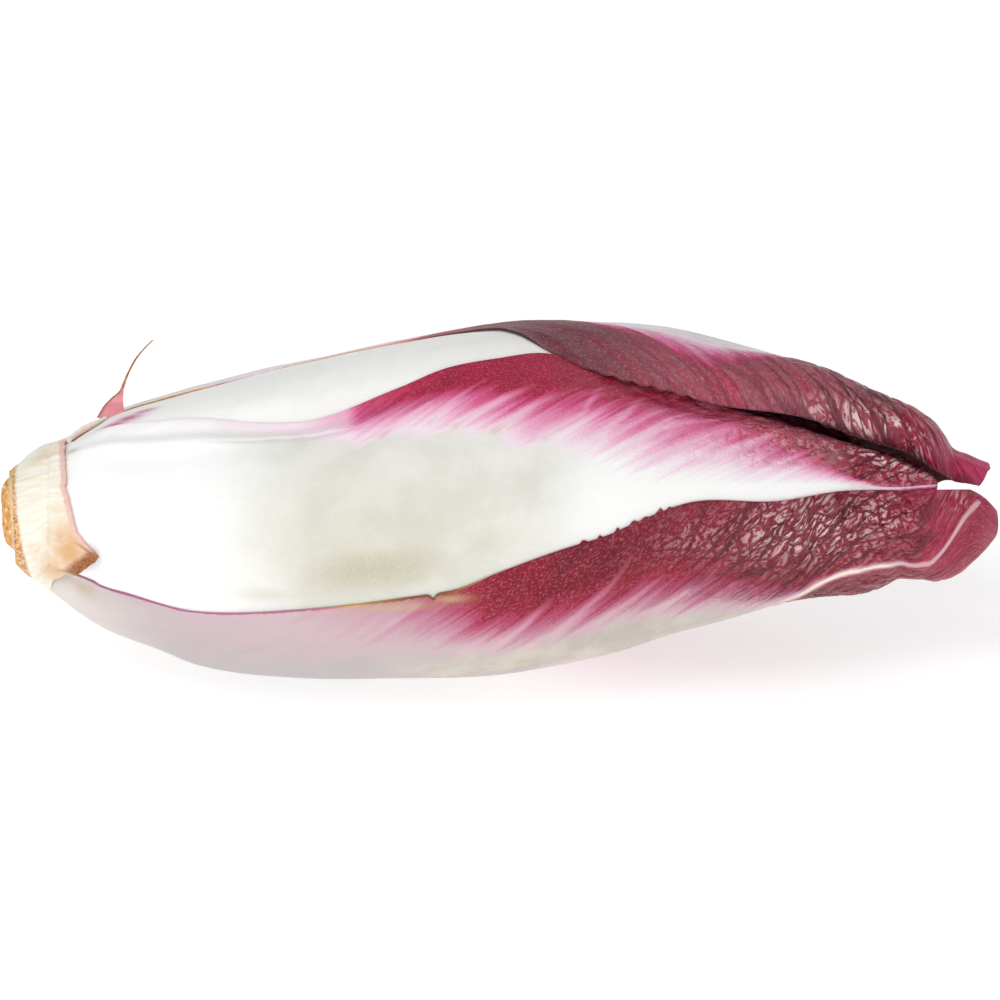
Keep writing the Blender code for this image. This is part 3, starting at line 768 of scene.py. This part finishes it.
def torn_material(name):
    """The base of a stripped leaf: cream flesh, drying tan and brown, with a salmon line where it tore."""
    g = Graph(name, Subsurface_Weight=0.1, Subsurface_Scale=0.001)
    along, off, edge = g.field("along"), g.field("off"), g.field("edge")
    flat = g.vector(along, off, 7.0)
    fibres = g.noise(g.scaled(flat, (0.25, 1.6, 1.0)), detail=3.0, roughness=0.6)
    blotch = g.noise(flat, scale=0.35, detail=4.0, roughness=0.65)
    fine = g.noise(flat, scale=3.5, detail=3.0)
    colour = g.mix(g.between(fibres, 0.3, 0.7), (244, 234, 210), (251, 248, 240))
    stain = g.field("stain")
    amount = g.times(g.clamped(g.sway(stain, blotch, 0.9)), g.between(stain, 0.02, 0.25))
    colour = g.mix(amount, colour, (224, 174, 124))
    colour = g.mix(g.between(blotch, 0.6, 0.72, 0.0, 0.3), colour, (228, 190, 130))
    dry = g.mix(g.between(fine, 0.3, 0.7), (122, 66, 32), (190, 120, 66))
    rim = g.mix(g.between(fine, 0.35, 0.65), (172, 100, 44), (246, 198, 126))
    colour = g.mix(g.times(g.field("rim"), g.between(fibres, 0.3, 0.5, 0.5, 1.0)), colour, rim)
    colour = g.mix(g.times(g.field("pink"), 0.85), colour, (232, 136, 150))
    colour = g.mix(g.field("brown"), colour, dry)
    line = g.times(g.between(edge, 1.1, 0.6), g.field("line"))
    colour = g.mix(line, colour, g.mix(fine, (234, 176, 164), (244, 212, 200)))
    bump = g.bump(fibres, 0.0003, 0.45, g.bump(fine, 0.0001, 0.5))
    return g.finish(colour, g.between(blotch, 0.3, 0.7, 0.45, 0.65), bump)


# The leaves, from the outermost inwards.

# The bottom leaf faces down: its greyer flesh, its grey tint from x -4 towards the cut and its dull reds are
# partly its own tone and partly painted shade. Its shines put painted glints on its puckers.
bottom_leaf = Leaf(
    "bottom_leaf", "outer_leaf_1", "bottom_leaf", start=-68.2, end=75.0, depth=[(-75, 0), (-20, 0),
    (5, -0.5), (75, -0.5)], bow=2.5, skew=1.5, thickness=1.1, rows=330, columns=145, rib=[(-70, -92),
    (-45, -88), (-30, -86), (0, -82), (15, -78), (30, -73), (40, -70), (45, -66), (48, -56), (52, -49),
    (56, -47), (60, -52), (62.5, -56), (64.5, -54), (66, -45), (68, -31), (70, -17), (72, -9), (73.5, -13),
    (75, -22)], high=[(-70, -52), (-60, -52), (-45, -43.6), (-30, -38), (-15, -34.8), (-7, -33), (0, -27),
    (15, -18.3), (22, -12.7), (30, -9.6), (45, -8), (53, -5.4), (60, -1), (66, 2), (70.5, 1), (73, -5),
    (75, -16)], low=[(-70, -132), (-45, -146), (-30, -150), (0, -153), (30, -152), (45, -148), (60, -142),
    (68, -128), (72, -105), (75, -78)], radius=[(-75, 7.5), (-70, 9.8), (-66, 12.8), (-62, 15.6),
    (-58, 17.4)] + HEAD_RADIUS[5:-3] + [(51, 17.2), (55, 16.3), (58, 14.9), (61, 13.3), (64, 13.3),
    (66, 13.6), (69, 13.0), (72, 11.1), (75, 8.2)], nicks_high=[(12.8, 0.5, 0.9), (15.2, 0.4, 0.6),
    (17.8, 0.45, 0.7), (20.2, 0.5, 0.9), (21.9, 0.4, 0.6), (24.1, 0.5, 1.1), (25.6, 0.4, 0.5),
    (-9.5, 0.7, -1.1)], white_high=[(-70, -75), (-30, -66), (-12, -58), (0, -58), (9, -58), (19, -54),
    (27, -56), (33, -59), (40, -66), (45, -64), (48, -55), (52, -48.2), (56, -46.3), (60, -51.3),
    (62.5, -55.4), (64.5, -53.4), (66, -44.4), (68, -30.4), (70, -16.4), (72, -9), (73, -20), (75, -40)],
    white_low=[(-70, -110), (0, -100), (20, -92), (33, -84), (42, -76), (45, -71), (48, -60), (52, -52.2),
    (56, -49.6), (60, -54.2), (62.5, -58), (64.5, -56), (66, -46.8), (68, -32.6), (70, -18.4), (72, -9.4),
    (73, 0), (75, 0)], blush_high=[(-70, 0.05), (-45, 0.12), (-28, 0.17), (-18, 0.3), (-9, 0.5), (0, 0.78),
    (20, 0.86), (35, 0.82), (50, 0.8), (62, 0.64), (75, 0.56)], blush_low=[(-70, 0.02), (-10, 0.2),
    (20, 0.75), (45, 0.85), (62, 0.66), (75, 0.56)], fringe=[(-70, 12), (-20, 9), (0, 7), (20, 7.5),
    (35, 7.5), (45, 2.5), (50, 0.8), (75, 0.5)], pucker=[(-75, 0), (0, 0.02), (25, 0.25), (38, 0.8), (50, 1),
    (62, 0.9), (68, 0.35), (75, 0.2)], pale_veins=[[(-6, -62), (0, -50)], [(-1, -60), (4, -50), (8, -40)],
    [(5, -63), (12, -50), (17, -38), (20, -27)], [(12, -60), (20, -47), (25, -38)], [(22, -57), (28, -50),
    (32, -44)]], stains=[(-15, -38, 7, 0.9, 0.7), (-7, -36, 3, 0.8, 0.8), (4, -70, 1.8, 0.8, 0.7),
    (10, -72, 1.5, 0.6, 0.5), (-8, -70, 1, 0.8, 0.4), (-62, -58, 1.5, 0.8, 0.6)], line_high=[(-70, 0.1),
    (-30, 0.15), (-16, 0.26), (-6, 0.32), (0, 0.0), (75, 0.0)], line_tone=[(-70, 0.28), (-28, 0.33),
    (-18, 0.72), (-10, 0.84), (-4, 0.74), (2, 0.4), (75, 0.4)], flesh=((192, 184, 178), (212, 204, 192)),
    tints=[(-4, -24, (190, 181, 182)), (-46, -66, (224, 216, 210)), (36, 50, (248, 230, 204)), (57, 63,
    (236, 152, 136))], shines=[(46, -24, 11, 5.5, 1.0), (57, -17, 5, 3.5, 0.8), (30, -24, 6, 4, 0.35),
    (68.5, -8, 2, 2, 0.5)], reds=DULL_AND_SHADED_REDS, seed=1.7,
)
# Along the top leaf's rolled low margin, from about x 46 to 66, a strip of painted shade darkens the roll's
# underside, and its shines put painted glints along the roll's crest.
top_leaf = Leaf(
    "top_leaf", "outer_leaf_2", "top_leaf", start=-66.5, end=74.4, depth=[(-75, 0.3), (-10, 0.0), (5, -0.7),
    (25, -0.8), (40, -0.4), (75, -0.3)], bow=1.8, rows=330, columns=145, rib=[(-70, 138), (-30, 134),
    (0, 126), (15, 118), (30, 109), (45, 106), (60, 103), (66, 98), (69, 92), (71, 86), (75, 80)],
    low=[(-70, 99), (-52, 96), (-45, 94.8), (-15, 94), (-6, 92), (-1, 85.5), (3, 74), (7, 64), (13, 54),
    (22, 42), (30, 38.6), (38, 36.2), (45, 34.6), (53, 33.6), (58, 32.8), (61.5, 29.5), (64, 23), (66, 18),
    (69, 17), (71, 20), (75, 24)], high=[(-70, 182), (-45, 185), (-15, 188), (0, 190), (15, 196), (30, 201),
    (45, 202), (60, 196), (66, 178), (69, 155), (71, 135), (75, 115)], radius=HEAD_RADIUS[:-2] + [(63, 12.0),
    (66, 9.9), (67.5, 8.0), (68.8, 6.0), (71.2, 5.1), (73, 4.4), (75, 3.8)], roll_low=[(-75, 0), (8, 0),
    (20, 0.7), (30, 1.6), (42, 3.6), (52, 4.6), (60, 4.4), (66, 2.0), (75, 0)], nicks_low=[(14.6, 1.2, -0.5),
    (17.3, 1.2, -0.6), (20.1, 1.3, -0.7), (22.9, 1.2, -0.6), (25.7, 1.3, -0.6), (28.6, 1.2, -0.4)],
    white_low=[(-70, 104), (-8, 103), (2, 102), (9, 98), (15, 87), (24, 75), (33, 66), (42, 74), (50, 94),
    (60, 104), (75, 88)], white_high=[(-70, 170), (-10, 160), (10, 140), (30, 122), (45, 112), (60, 106),
    (75, 84)], blush_low=[(-70, 0.0), (-20, 0.2), (-8, 0.8), (10, 0.9), (24, 0.67), (45, 0.7), (55, 0.76),
    (66, 0.62), (75, 0.54)], blush_high=[(-70, 0.0), (-20, 0.3), (0, 0.7), (20, 0.86), (66, 0.75),
    (75, 0.65)], fringe=[(-70, 2), (0, 2.5), (12, 3), (30, 4.5), (50, 2.5), (75, 0.8)], pucker=[(-75, 0),
    (5, 0.1), (25, 0.3), (42, 0.55), (55, 0.9), (66, 0.8), (70, 0.3), (75, 0.2)], bloom=[(-75, 0.8),
    (15, 0.85), (28, 0.9), (42, 0.85), (52, 0.5), (60, 0.1), (66, 0)], shines=[(49, 38, 4, 1.2, 0.75),
    (54, 37.8, 4.5, 1.5, 1.0), (59, 36.5, 4, 1.8, 1.0), (63, 34, 2.5, 2.2, 0.8), (56, 47, 7, 3.5, 0.2)],
    painted_shade_low=[(-75, -2), (40, -2), (47, 0.2), (56, 0.6), (64, 0.8), (68, -2), (75, -2)],
    line_low=[(-66, 0.6), (-53, 0.45), (-47, 0.25), (-36, 0.15), (-30, 0.3), (-22, 0.55), (-15, 0.5),
    (-11, 0.3), (-5, 0.4), (2, 0.5), (8, 0), (75, 0)], line_tone=[(-66, 0.62), (-52, 0.7), (-45, 0.66),
    (-40, 0.1), (-36, 0.1), (-30, 0.55), (-15, 0.6), (-10, 0.85), (2, 1), (75, 1)], flesh=((224, 214, 216),
    (240, 236, 236)), seed=4.3,
)
# The front leaf's pure white towards the cut, the tint from x -26, is partly its own whiteness and partly
# painted light. Its shaded stations paint the shade of the crevice under the top leaf's margin nearly black,
# and its shines put painted glints on its puckers.
front_leaf = Leaf(
    "front_leaf", "outer_leaf_3", "front_leaf", start=-67.2, end=66.0, depth=[(-75, 0.5), (-45, 0.8),
    (75, 0.8)], bow=10.0, rows=330, columns=145, rib=[(-70, 0), (15, -1), (45, -2), (60, 1), (66, 5)],
    low=[(-70, -60), (-45, -72), (-15, -76), (7, -78), (30, -76), (50, -72), (60, -62), (66, -40)],
    high=[(-70, 66), (-60, 63), (-52, 57.5), (-45, 54), (-34, 46), (-28, 44), (-15, 49), (-7, 54.4),
    (0, 57.2), (7, 61), (13, 57), (22, 51), (30, 46), (38, 44.5), (45, 43.5), (53, 43), (60, 39), (66, 30)],
    radius=[(-75, 7.5), (-70, 9.9), (-66, 12.4), (-62, 14.9), (-58, 16.9)] + HEAD_RADIUS[5:],
    sink_high=[(-75, 0.4), (-45, 0.5), (-28, 1.6), (15, SINK), (32, 5.2), (60, 5.2), (66, 3.6)],
    white_high=[(-70, 62), (-58, 57), (-50, 52), (-41.5, 45), (-30, 36), (-21.4, 27), (-10.6, 28.5),
    (0, 24.3), (6, 19.3), (14.3, 16.3), (18.7, 12.6), (23.8, 8.9), (30, 7), (39, 4.1), (45, 2.4), (53, 0.4),
    (56, -1.2), (58, -6), (66, -6)], white_low=[(-70, -40), (0, -48), (20, -34), (35, -20), (53, -6),
    (60, 0), (66, 4.5)], blush_high=[(-70, 0.08), (-57, 0.13), (-45, 0.17), (-35, 0.24), (-23, 0.3),
    (-20, 0.56), (-10, 0.64), (0, 0.7), (14, 0.7), (30, 0.63), (42, 0.7), (50, 0.78), (66, 0.72)],
    blush_low=[(-60, 0.0), (-10, 0.1), (20, 0.8), (66, 0.85)], fringe=[(-70, 3), (-40, 4), (-26, 5),
    (-18, 5.5), (0, 7), (15, 8.5), (25, 9), (40, 6), (50, 2.2), (56, 0.6), (66, 0.6)], pucker=[(-75, 0),
    (5, 0.02), (16, 0.2), (28, 0.4), (45, 0.9), (66, 1.0)], flesh=((224, 223, 215), (236, 235, 229)),
    tints=[(-26, -48, (255, 255, 255)), (4, 18, (250, 250, 248))], shines=[(58, 19, 7, 3, 1.0),
    (43, 22, 7, 5, 0.45), (52, 24, 5, 4, 0.6)], pale_veins=[[(-10, 30), (-1.8, 45.7)], [(-6.2, 27.5),
    (3, 38.3), (5.6, 41.5)], [(-0.3, 24), (6.3, 33.5), (12.5, 41.3)], [(6.8, 19.5), (12.8, 28.5),
    (15.8, 43.4)], [(14.3, 17), (19.5, 28.5), (22.3, 39.9)], [(18.7, 12), (23.8, 20.7), (33, 28.3)],
    [(30.2, 8), (39.2, 18.7), (45.3, 29.9)], [(-17, 28), (-10, 38)], [(24, 8.5), (30, 17), (35, 24)],
    [(53, -0.5), (60, 1), (66, 4.5)]], stains=[(-18.5, -21, 12, 4.4, 0.85), (-3, -14, 7, 3, 0.35),
    (-34, -30, 6, 1.5, 0.4), (-13, -26, 5, 2, 0.6), (-20, -10, 18, 9, 0.42), (-63.7, 47, 1.2, 0.7, 0.8)],
    stain_tone=(186, 178, 144), net_dark_from=50.0, shaded=[(-75, 400), (24, 400), (28, 44.5), (32, 42),
    (38, 37.8), (45, 33.3), (53, 28.5), (58, 23), (61.5, 18), (66, 11)], bloom=[(-75, 0.0), (10, 0.0),
    (30, 0.2), (50, 0.1), (66, 0)], seed=2.9,
)
back_leaf = Leaf(
    "back_leaf", "outer_leaf_4", "back_leaf", start=-63.5, end=64.0, depth=[(-75, 1.6), (-60, 3.4),
    (75, 3.4)], bow=11.0, rib=[(-70, -142), (0, -150), (60, -155)], rows=200, columns=80, seed=6.1,
)
# The upper leaf's whiter flesh is partly its own whiteness and partly painted light, for it lies in shade.
upper_leaf = Leaf(
    "upper_leaf", "outer_leaf_5", "upper_leaf", start=-64.0, end=60.0, depth=[(-75, 0.9), (-10, 0.9),
    (8, 2.0), (20, 3.6), (75, 3.6)], bow=12.0, rib=[(-70, 80), (-30, 78), (0, 80), (60, 85)], rows=220,
    columns=90, white_low=[(-70, 20), (-10, 25), (20, 60), (60, 80)], white_high=[(-70, 140), (10, 125),
    (60, 90)], flesh=((246, 246, 242), (252, 252, 250)), stains=[(-60.0, 62.0, 2.0, 0.7, 0.9),
    (-57.8, 64.5, 2.4, 1.1, 1.2), (-55.4, 67.0, 2.4, 1.1, 1.2), (-53.0, 70.5, 2.0, 0.7, 1.1)],
    stain_tone=(206, 96, 156), seed=8.2,
)


def inner_leaf(number):
    """One of the leaves of the heart, each narrower, shorter and deeper than the one outside it."""
    turn = FIRST_RIB - DIVERGENCE * (number + 4)
    depth = 3.6 + 2.1 * number
    return Leaf(
        f"heart_leaf_{number}", f"inner_leaf_{number}", "heart_leaf", start=-63.0 + 3.0 * number,
        end=61.0 - 4.0 * number, depth=[(-75, depth), (75, depth)], bow=11.0, width=0.92 - 0.1 * number,
        rib=[(-70, turn), (75, turn)], thickness=0.85 - 0.08 * number, gap=HEART_GAP, lamina=HEART_LAMINA,
        rows=100, columns=44, seed=10.0 + number,
    )


torn_leaf = Leaf(
    "torn_leaf_base", "torn_leaf_base", "dry_leaf_base", start=-73.2, end=-57.0, depth=FLAT, gap=0.1,
    lamina=0.5, rows=60, columns=300, rib=[(-75, 18), (75, 18)], low=[(-75, -98), (-71, -92), (-69, -80),
    (-66.5, -66), (75, -62)], high=[(-75, 114), (-72.8, 114), (-71, 118), (-69.2, 112), (-67.5, 116),
    (-65.5, 109), (-63, 113), (-58, 104)], radius=[(-76, 5.0), (-74, 6.6), (-72.6, 8.4), (-71, 9.9),
    (-68.7, 11.6), (-66.4, 12.5), (-63, 14.0), (-60, 15.6), (-50, 19.0)], torn=[(-1, -67.2), (-0.86, -65.6),
    (-0.72, -63.5), (-0.6, -61.6), (-0.52, -59.9), (-0.465, -59.5), (-0.43, -61.0), (-0.343, -62.6),
    (-0.2, -63.6), (-0.088, -64.1), (0.125, -64.6), (0.3, -64.8), (0.479, -64.9), (0.53, -64.3),
    (0.58, -62.8), (0.62, -61.3), (0.66, -59.5), (0.72, -58.7), (0.78, -59), (0.9, -61), (1, -64)],
    stains=[(-63.5, -24, 3.4, 5, 1.0), (-66, -45, 3.0, 4, 0.8), (-62, -30, 2.4, 3.5, 1.0),
    (-65, 1, 2.2, 2, 0.3), (-69, -32, 2, 2, 0.3), (-68, 50, 3, 2.5, 0.35), (-62, 84, 2, 2, 0.4)], seed=3.3,
)
# How far the dried rim of the cut comes up the torn leaf, by turn.
RIM_WIDTH = [
    (-100, 3.0), (-60, 2.0), (-30, 1.1), (0, 0.6), (30, 0.5), (60, 0.9), (90, 1.3), (130, 1.3),
]
STRIP_TURN = 87.0
# The strip: its two edges along x, and its distance from the head's axis.
STRIP = [
    (-60.4, -55.9, 14.8), (-59.4, -56.3, 16.6), (-58.2, -56.4, 18.0), (-57.0, -56.35, 19.2),
    (-56.4, -55.95, 20.6), (-55.8, -55.5, 22.0), (-54.8, -54.5, 24.0), (-53.4, -53.15, 25.9),
    (-52.0, -51.8, 27.4),
]
STRIP_THICKNESS = 0.3


def add_torn_leaf(leaf, inner, look):
    """The base of the stripped leaf, wrinkled, with a flap that lifts where it dried."""
    u, x, turn = spread(leaf, np.linspace(0, 1, leaf.rows + 1), np.linspace(-1, 1, leaf.columns + 1))
    around = smooth(leaf.radius, x)
    off = u * np.radians(half_turn(leaf, x, 1)) * around
    edge = np.maximum(reach(leaf, u) - x, 0)
    thick = leaf.lamina + 0 * x
    taper = thick - rounded(thick, edge)
    radius = read_chart(inner, x, turn)
    flap = ramp(-0.4, -0.46, u) * ramp(-0.8, -0.66, u)
    radius = radius + FLAP_LIFT * ramp(2.2, 0.3, edge) * flap
    wrinkles = WRINKLES[0] * wobble(off * 0.5, x * 0.12) + WRINKLES[1] * wobble(off * 1.4, x * 0.3)
    outer = radius + thick - OUTER_TAPER * taper + wrinkles * ramp(0, 0.6, edge)
    fields = {
        "along": x,
        "off": off,
        "edge": edge,
        "stain": stain_field(leaf.stains, x, turn, around),
        "line": ramp(-0.46, -0.42, u) * ramp(0.7, 0.6, u),
        "brown": ramp(2.6, 1.3, edge) * flap,
        "rim": ramp(0.4, -0.4, x - foot(leaf, u) - np.interp(turn, *np.array(RIM_WIDTH).T)),
        "pink": 0 * x,
    }
    inner = radius + (1 - OUTER_TAPER) * taper
    return add_sheet(leaf, leaf.name, place(x, turn, outer), place(x, turn, inner), fields, look)


def add_strip(leaf, look):
    """A strip of the stripped leaf that is still on, and ends in a dry thread."""
    t = np.linspace(0, len(STRIP) - 1, 120)
    count = np.arange(len(STRIP))
    left, right, radius = (smooth(list(zip(count, column)), t)[:, None] for column in np.array(STRIP).T)
    breadth = np.linspace(0, 1, 13)
    x = left + (right - left) * breadth
    radius = radius + 0 * x
    share = t[:, None] / t[-1] + 0 * x
    turn = STRIP_TURN + np.degrees(0.5 * np.sin(2.5 * t)[:, None] / radius)
    thick = np.degrees(STRIP_THICKNESS * (1 - 0.4 * share) / radius)
    thick = thick * np.sqrt(1 - 0.85 * (2 * breadth - 1) ** 2)
    fields = {
        "along": x,
        "off": radius,
        "edge": x - left,
        "stain": 0 * x,
        "line": 0 * x,
        "brown": np.maximum(ramp(0.45, 0.6, share), 0.8 * ramp(0.5, 0.2, x - left)),
        "rim": 0 * x,
        "pink": ramp(0.62, 0.4, share),
    }
    sides = place(x, turn - thick / 2, radius), place(x, turn + thick / 2, radius)
    return add_sheet(leaf, "torn_strip", *sides, fields, look)


def add_stub(look):
    """The stub, with the rim and the rings of its cut."""
    rings, sides = 96, 128
    count = np.arange(len(STUB_PROFILE))
    profile_x, profile_r = (list(zip(count, column)) for column in np.array(STUB_PROFILE).T)
    bm = bmesh.new()
    bmesh.ops.create_uvsphere(bm, u_segments=sides, v_segments=rings, radius=1)
    co = np.array([vert.co for vert in bm.verts])
    at = np.arccos(np.clip(co[:, 2], -1, 1)) / math.pi * (len(STUB_PROFILE) - 1)
    turn = np.degrees(np.arctan2(co[:, 1], co[:, 0]))
    x, radius = smooth(profile_x, at), smooth(profile_r, at)
    cut = ramp(3.6, 2.6, at)
    rough = 0.12 * wobble(radius * 1.4, turn / 14) + 0.1 * wobble(turn / 5, radius * 2.5)
    x_there = x + lean(turn, radius) * (x < CUT_END + 1.5) + rough * cut
    points = place(x_there, turn, radius + 0.06 * wobble(turn / 8, x))
    for vert, point in zip(bm.verts, points):
        vert.co = Vector(point)
    bm.normal_update()
    bmesh.ops.recalc_face_normals(bm, faces=bm.faces)
    mesh = bpy.data.meshes.new("root_stub")
    bm.to_mesh(mesh)
    bm.free()
    for name, values in (("ring", radius), ("turn", turn), ("cut", cut)):
        add_field(mesh, name, values)
    return piece("root_stub", mesh, "stub", look)


add_stub(stub_material("cut_flesh"))
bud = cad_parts["heart_bud"]
bud.data.materials.clear()
bud.data.materials.append(heart_material("heart_flesh"))

laid = turned_chart(STUB_PROFILE, BUD_PROFILE)
leaves = [inner_leaf(number) for number in (4, 3, 2, 1)]
leaves += [upper_leaf, back_leaf, front_leaf, top_leaf, bottom_leaf]
for leaf in leaves:
    leaf_inner, laid = lay(leaf, laid)
    add_leaf(leaf, leaf_inner, leaf_material(leaf))
torn_inner, laid = lay(torn_leaf, laid)
torn_look = torn_material("dry_flesh")
add_torn_leaf(torn_leaf, torn_inner, torn_look)
add_strip(torn_leaf, torn_look)


# The studio.

LENS = 300.0
SENSOR = 36.0
DISTANCE = 1.2575
FLOOR_HALF = 3.0
FLOOR_DROP = 0.0004
FLOOR_GLOW = 0.62
WORLD_STRENGTH = 0.34
LOOK_AT = (0, 0, 0.02)
# Name, place, what it is turned to, size and power.
LIGHTS = [
    ("key", (-0.45, -0.35, 1.2), LOOK_AT, 0.6, 6.0),
    ("front", (0.12, -0.95, 0.32), LOOK_AT, 0.3, 2.4),
    ("rim", (0.6, 0.9, 0.9), LOOK_AT, 0.6, 2.5),
    ("side", (-0.36, -0.22, 0.26), (-0.05, 0, 0.02), 0.2, 0.3),
]


def add_floor():
    bm = bmesh.new()
    bmesh.ops.create_grid(bm, x_segments=8, y_segments=8, size=FLOOR_HALF)
    mesh = bpy.data.meshes.new("floor")
    bm.to_mesh(mesh)
    bm.free()
    g = Graph("pale_floor", Emission_Strength=FLOOR_GLOW, Emission_Color=(1, 1, 1, 1))
    grain = g.noise(g.add("TexCoord", output="Object"), scale=3.0)
    colour = g.mix(grain, (196, 196, 196), (200, 200, 200))
    mesh.materials.append(g.finish(colour, g.between(grain, 0, 1, 0.8, 0.9), g.bump(grain, 0.0001, 0.1)))
    floor = bpy.data.objects.new("floor", mesh)
    floor.location.z = -FLOOR_DROP
    bpy.context.scene.collection.objects.link(floor)


def add_camera():
    data = bpy.data.cameras.new("camera")
    data.lens = LENS
    data.sensor_width = SENSOR
    camera = bpy.data.objects.new("camera", data)
    lift = math.radians(FRONT_LIFT)
    camera.location = (0, -DISTANCE * math.cos(lift), AXIS_HEIGHT * MM + DISTANCE * math.sin(lift))
    camera.rotation_euler = (math.pi / 2 - lift, 0, 0)
    bpy.context.scene.collection.objects.link(camera)
    bpy.context.scene.camera = camera


def add_light(name, spot, target, size, power):
    data = bpy.data.lights.new(name, "AREA")
    data.size = size
    data.energy = power
    light = bpy.data.objects.new(name, data)
    light.location = spot
    light.rotation_euler = (Vector(target) - Vector(spot)).to_track_quat("-Z", "Y").to_euler()
    bpy.context.scene.collection.objects.link(light)


def add_world():
    world = bpy.data.worlds.new("studio")
    bpy.context.scene.world = world
    world.use_nodes = True
    background = world.node_tree.nodes["Background"]
    background.inputs["Color"].default_value = (1, 1, 1, 1)
    background.inputs["Strength"].default_value = WORLD_STRENGTH


add_floor()
add_camera()
add_world()
for light in LIGHTS:
    add_light(*light)
bpy.context.scene.view_settings.view_transform = "Standard"
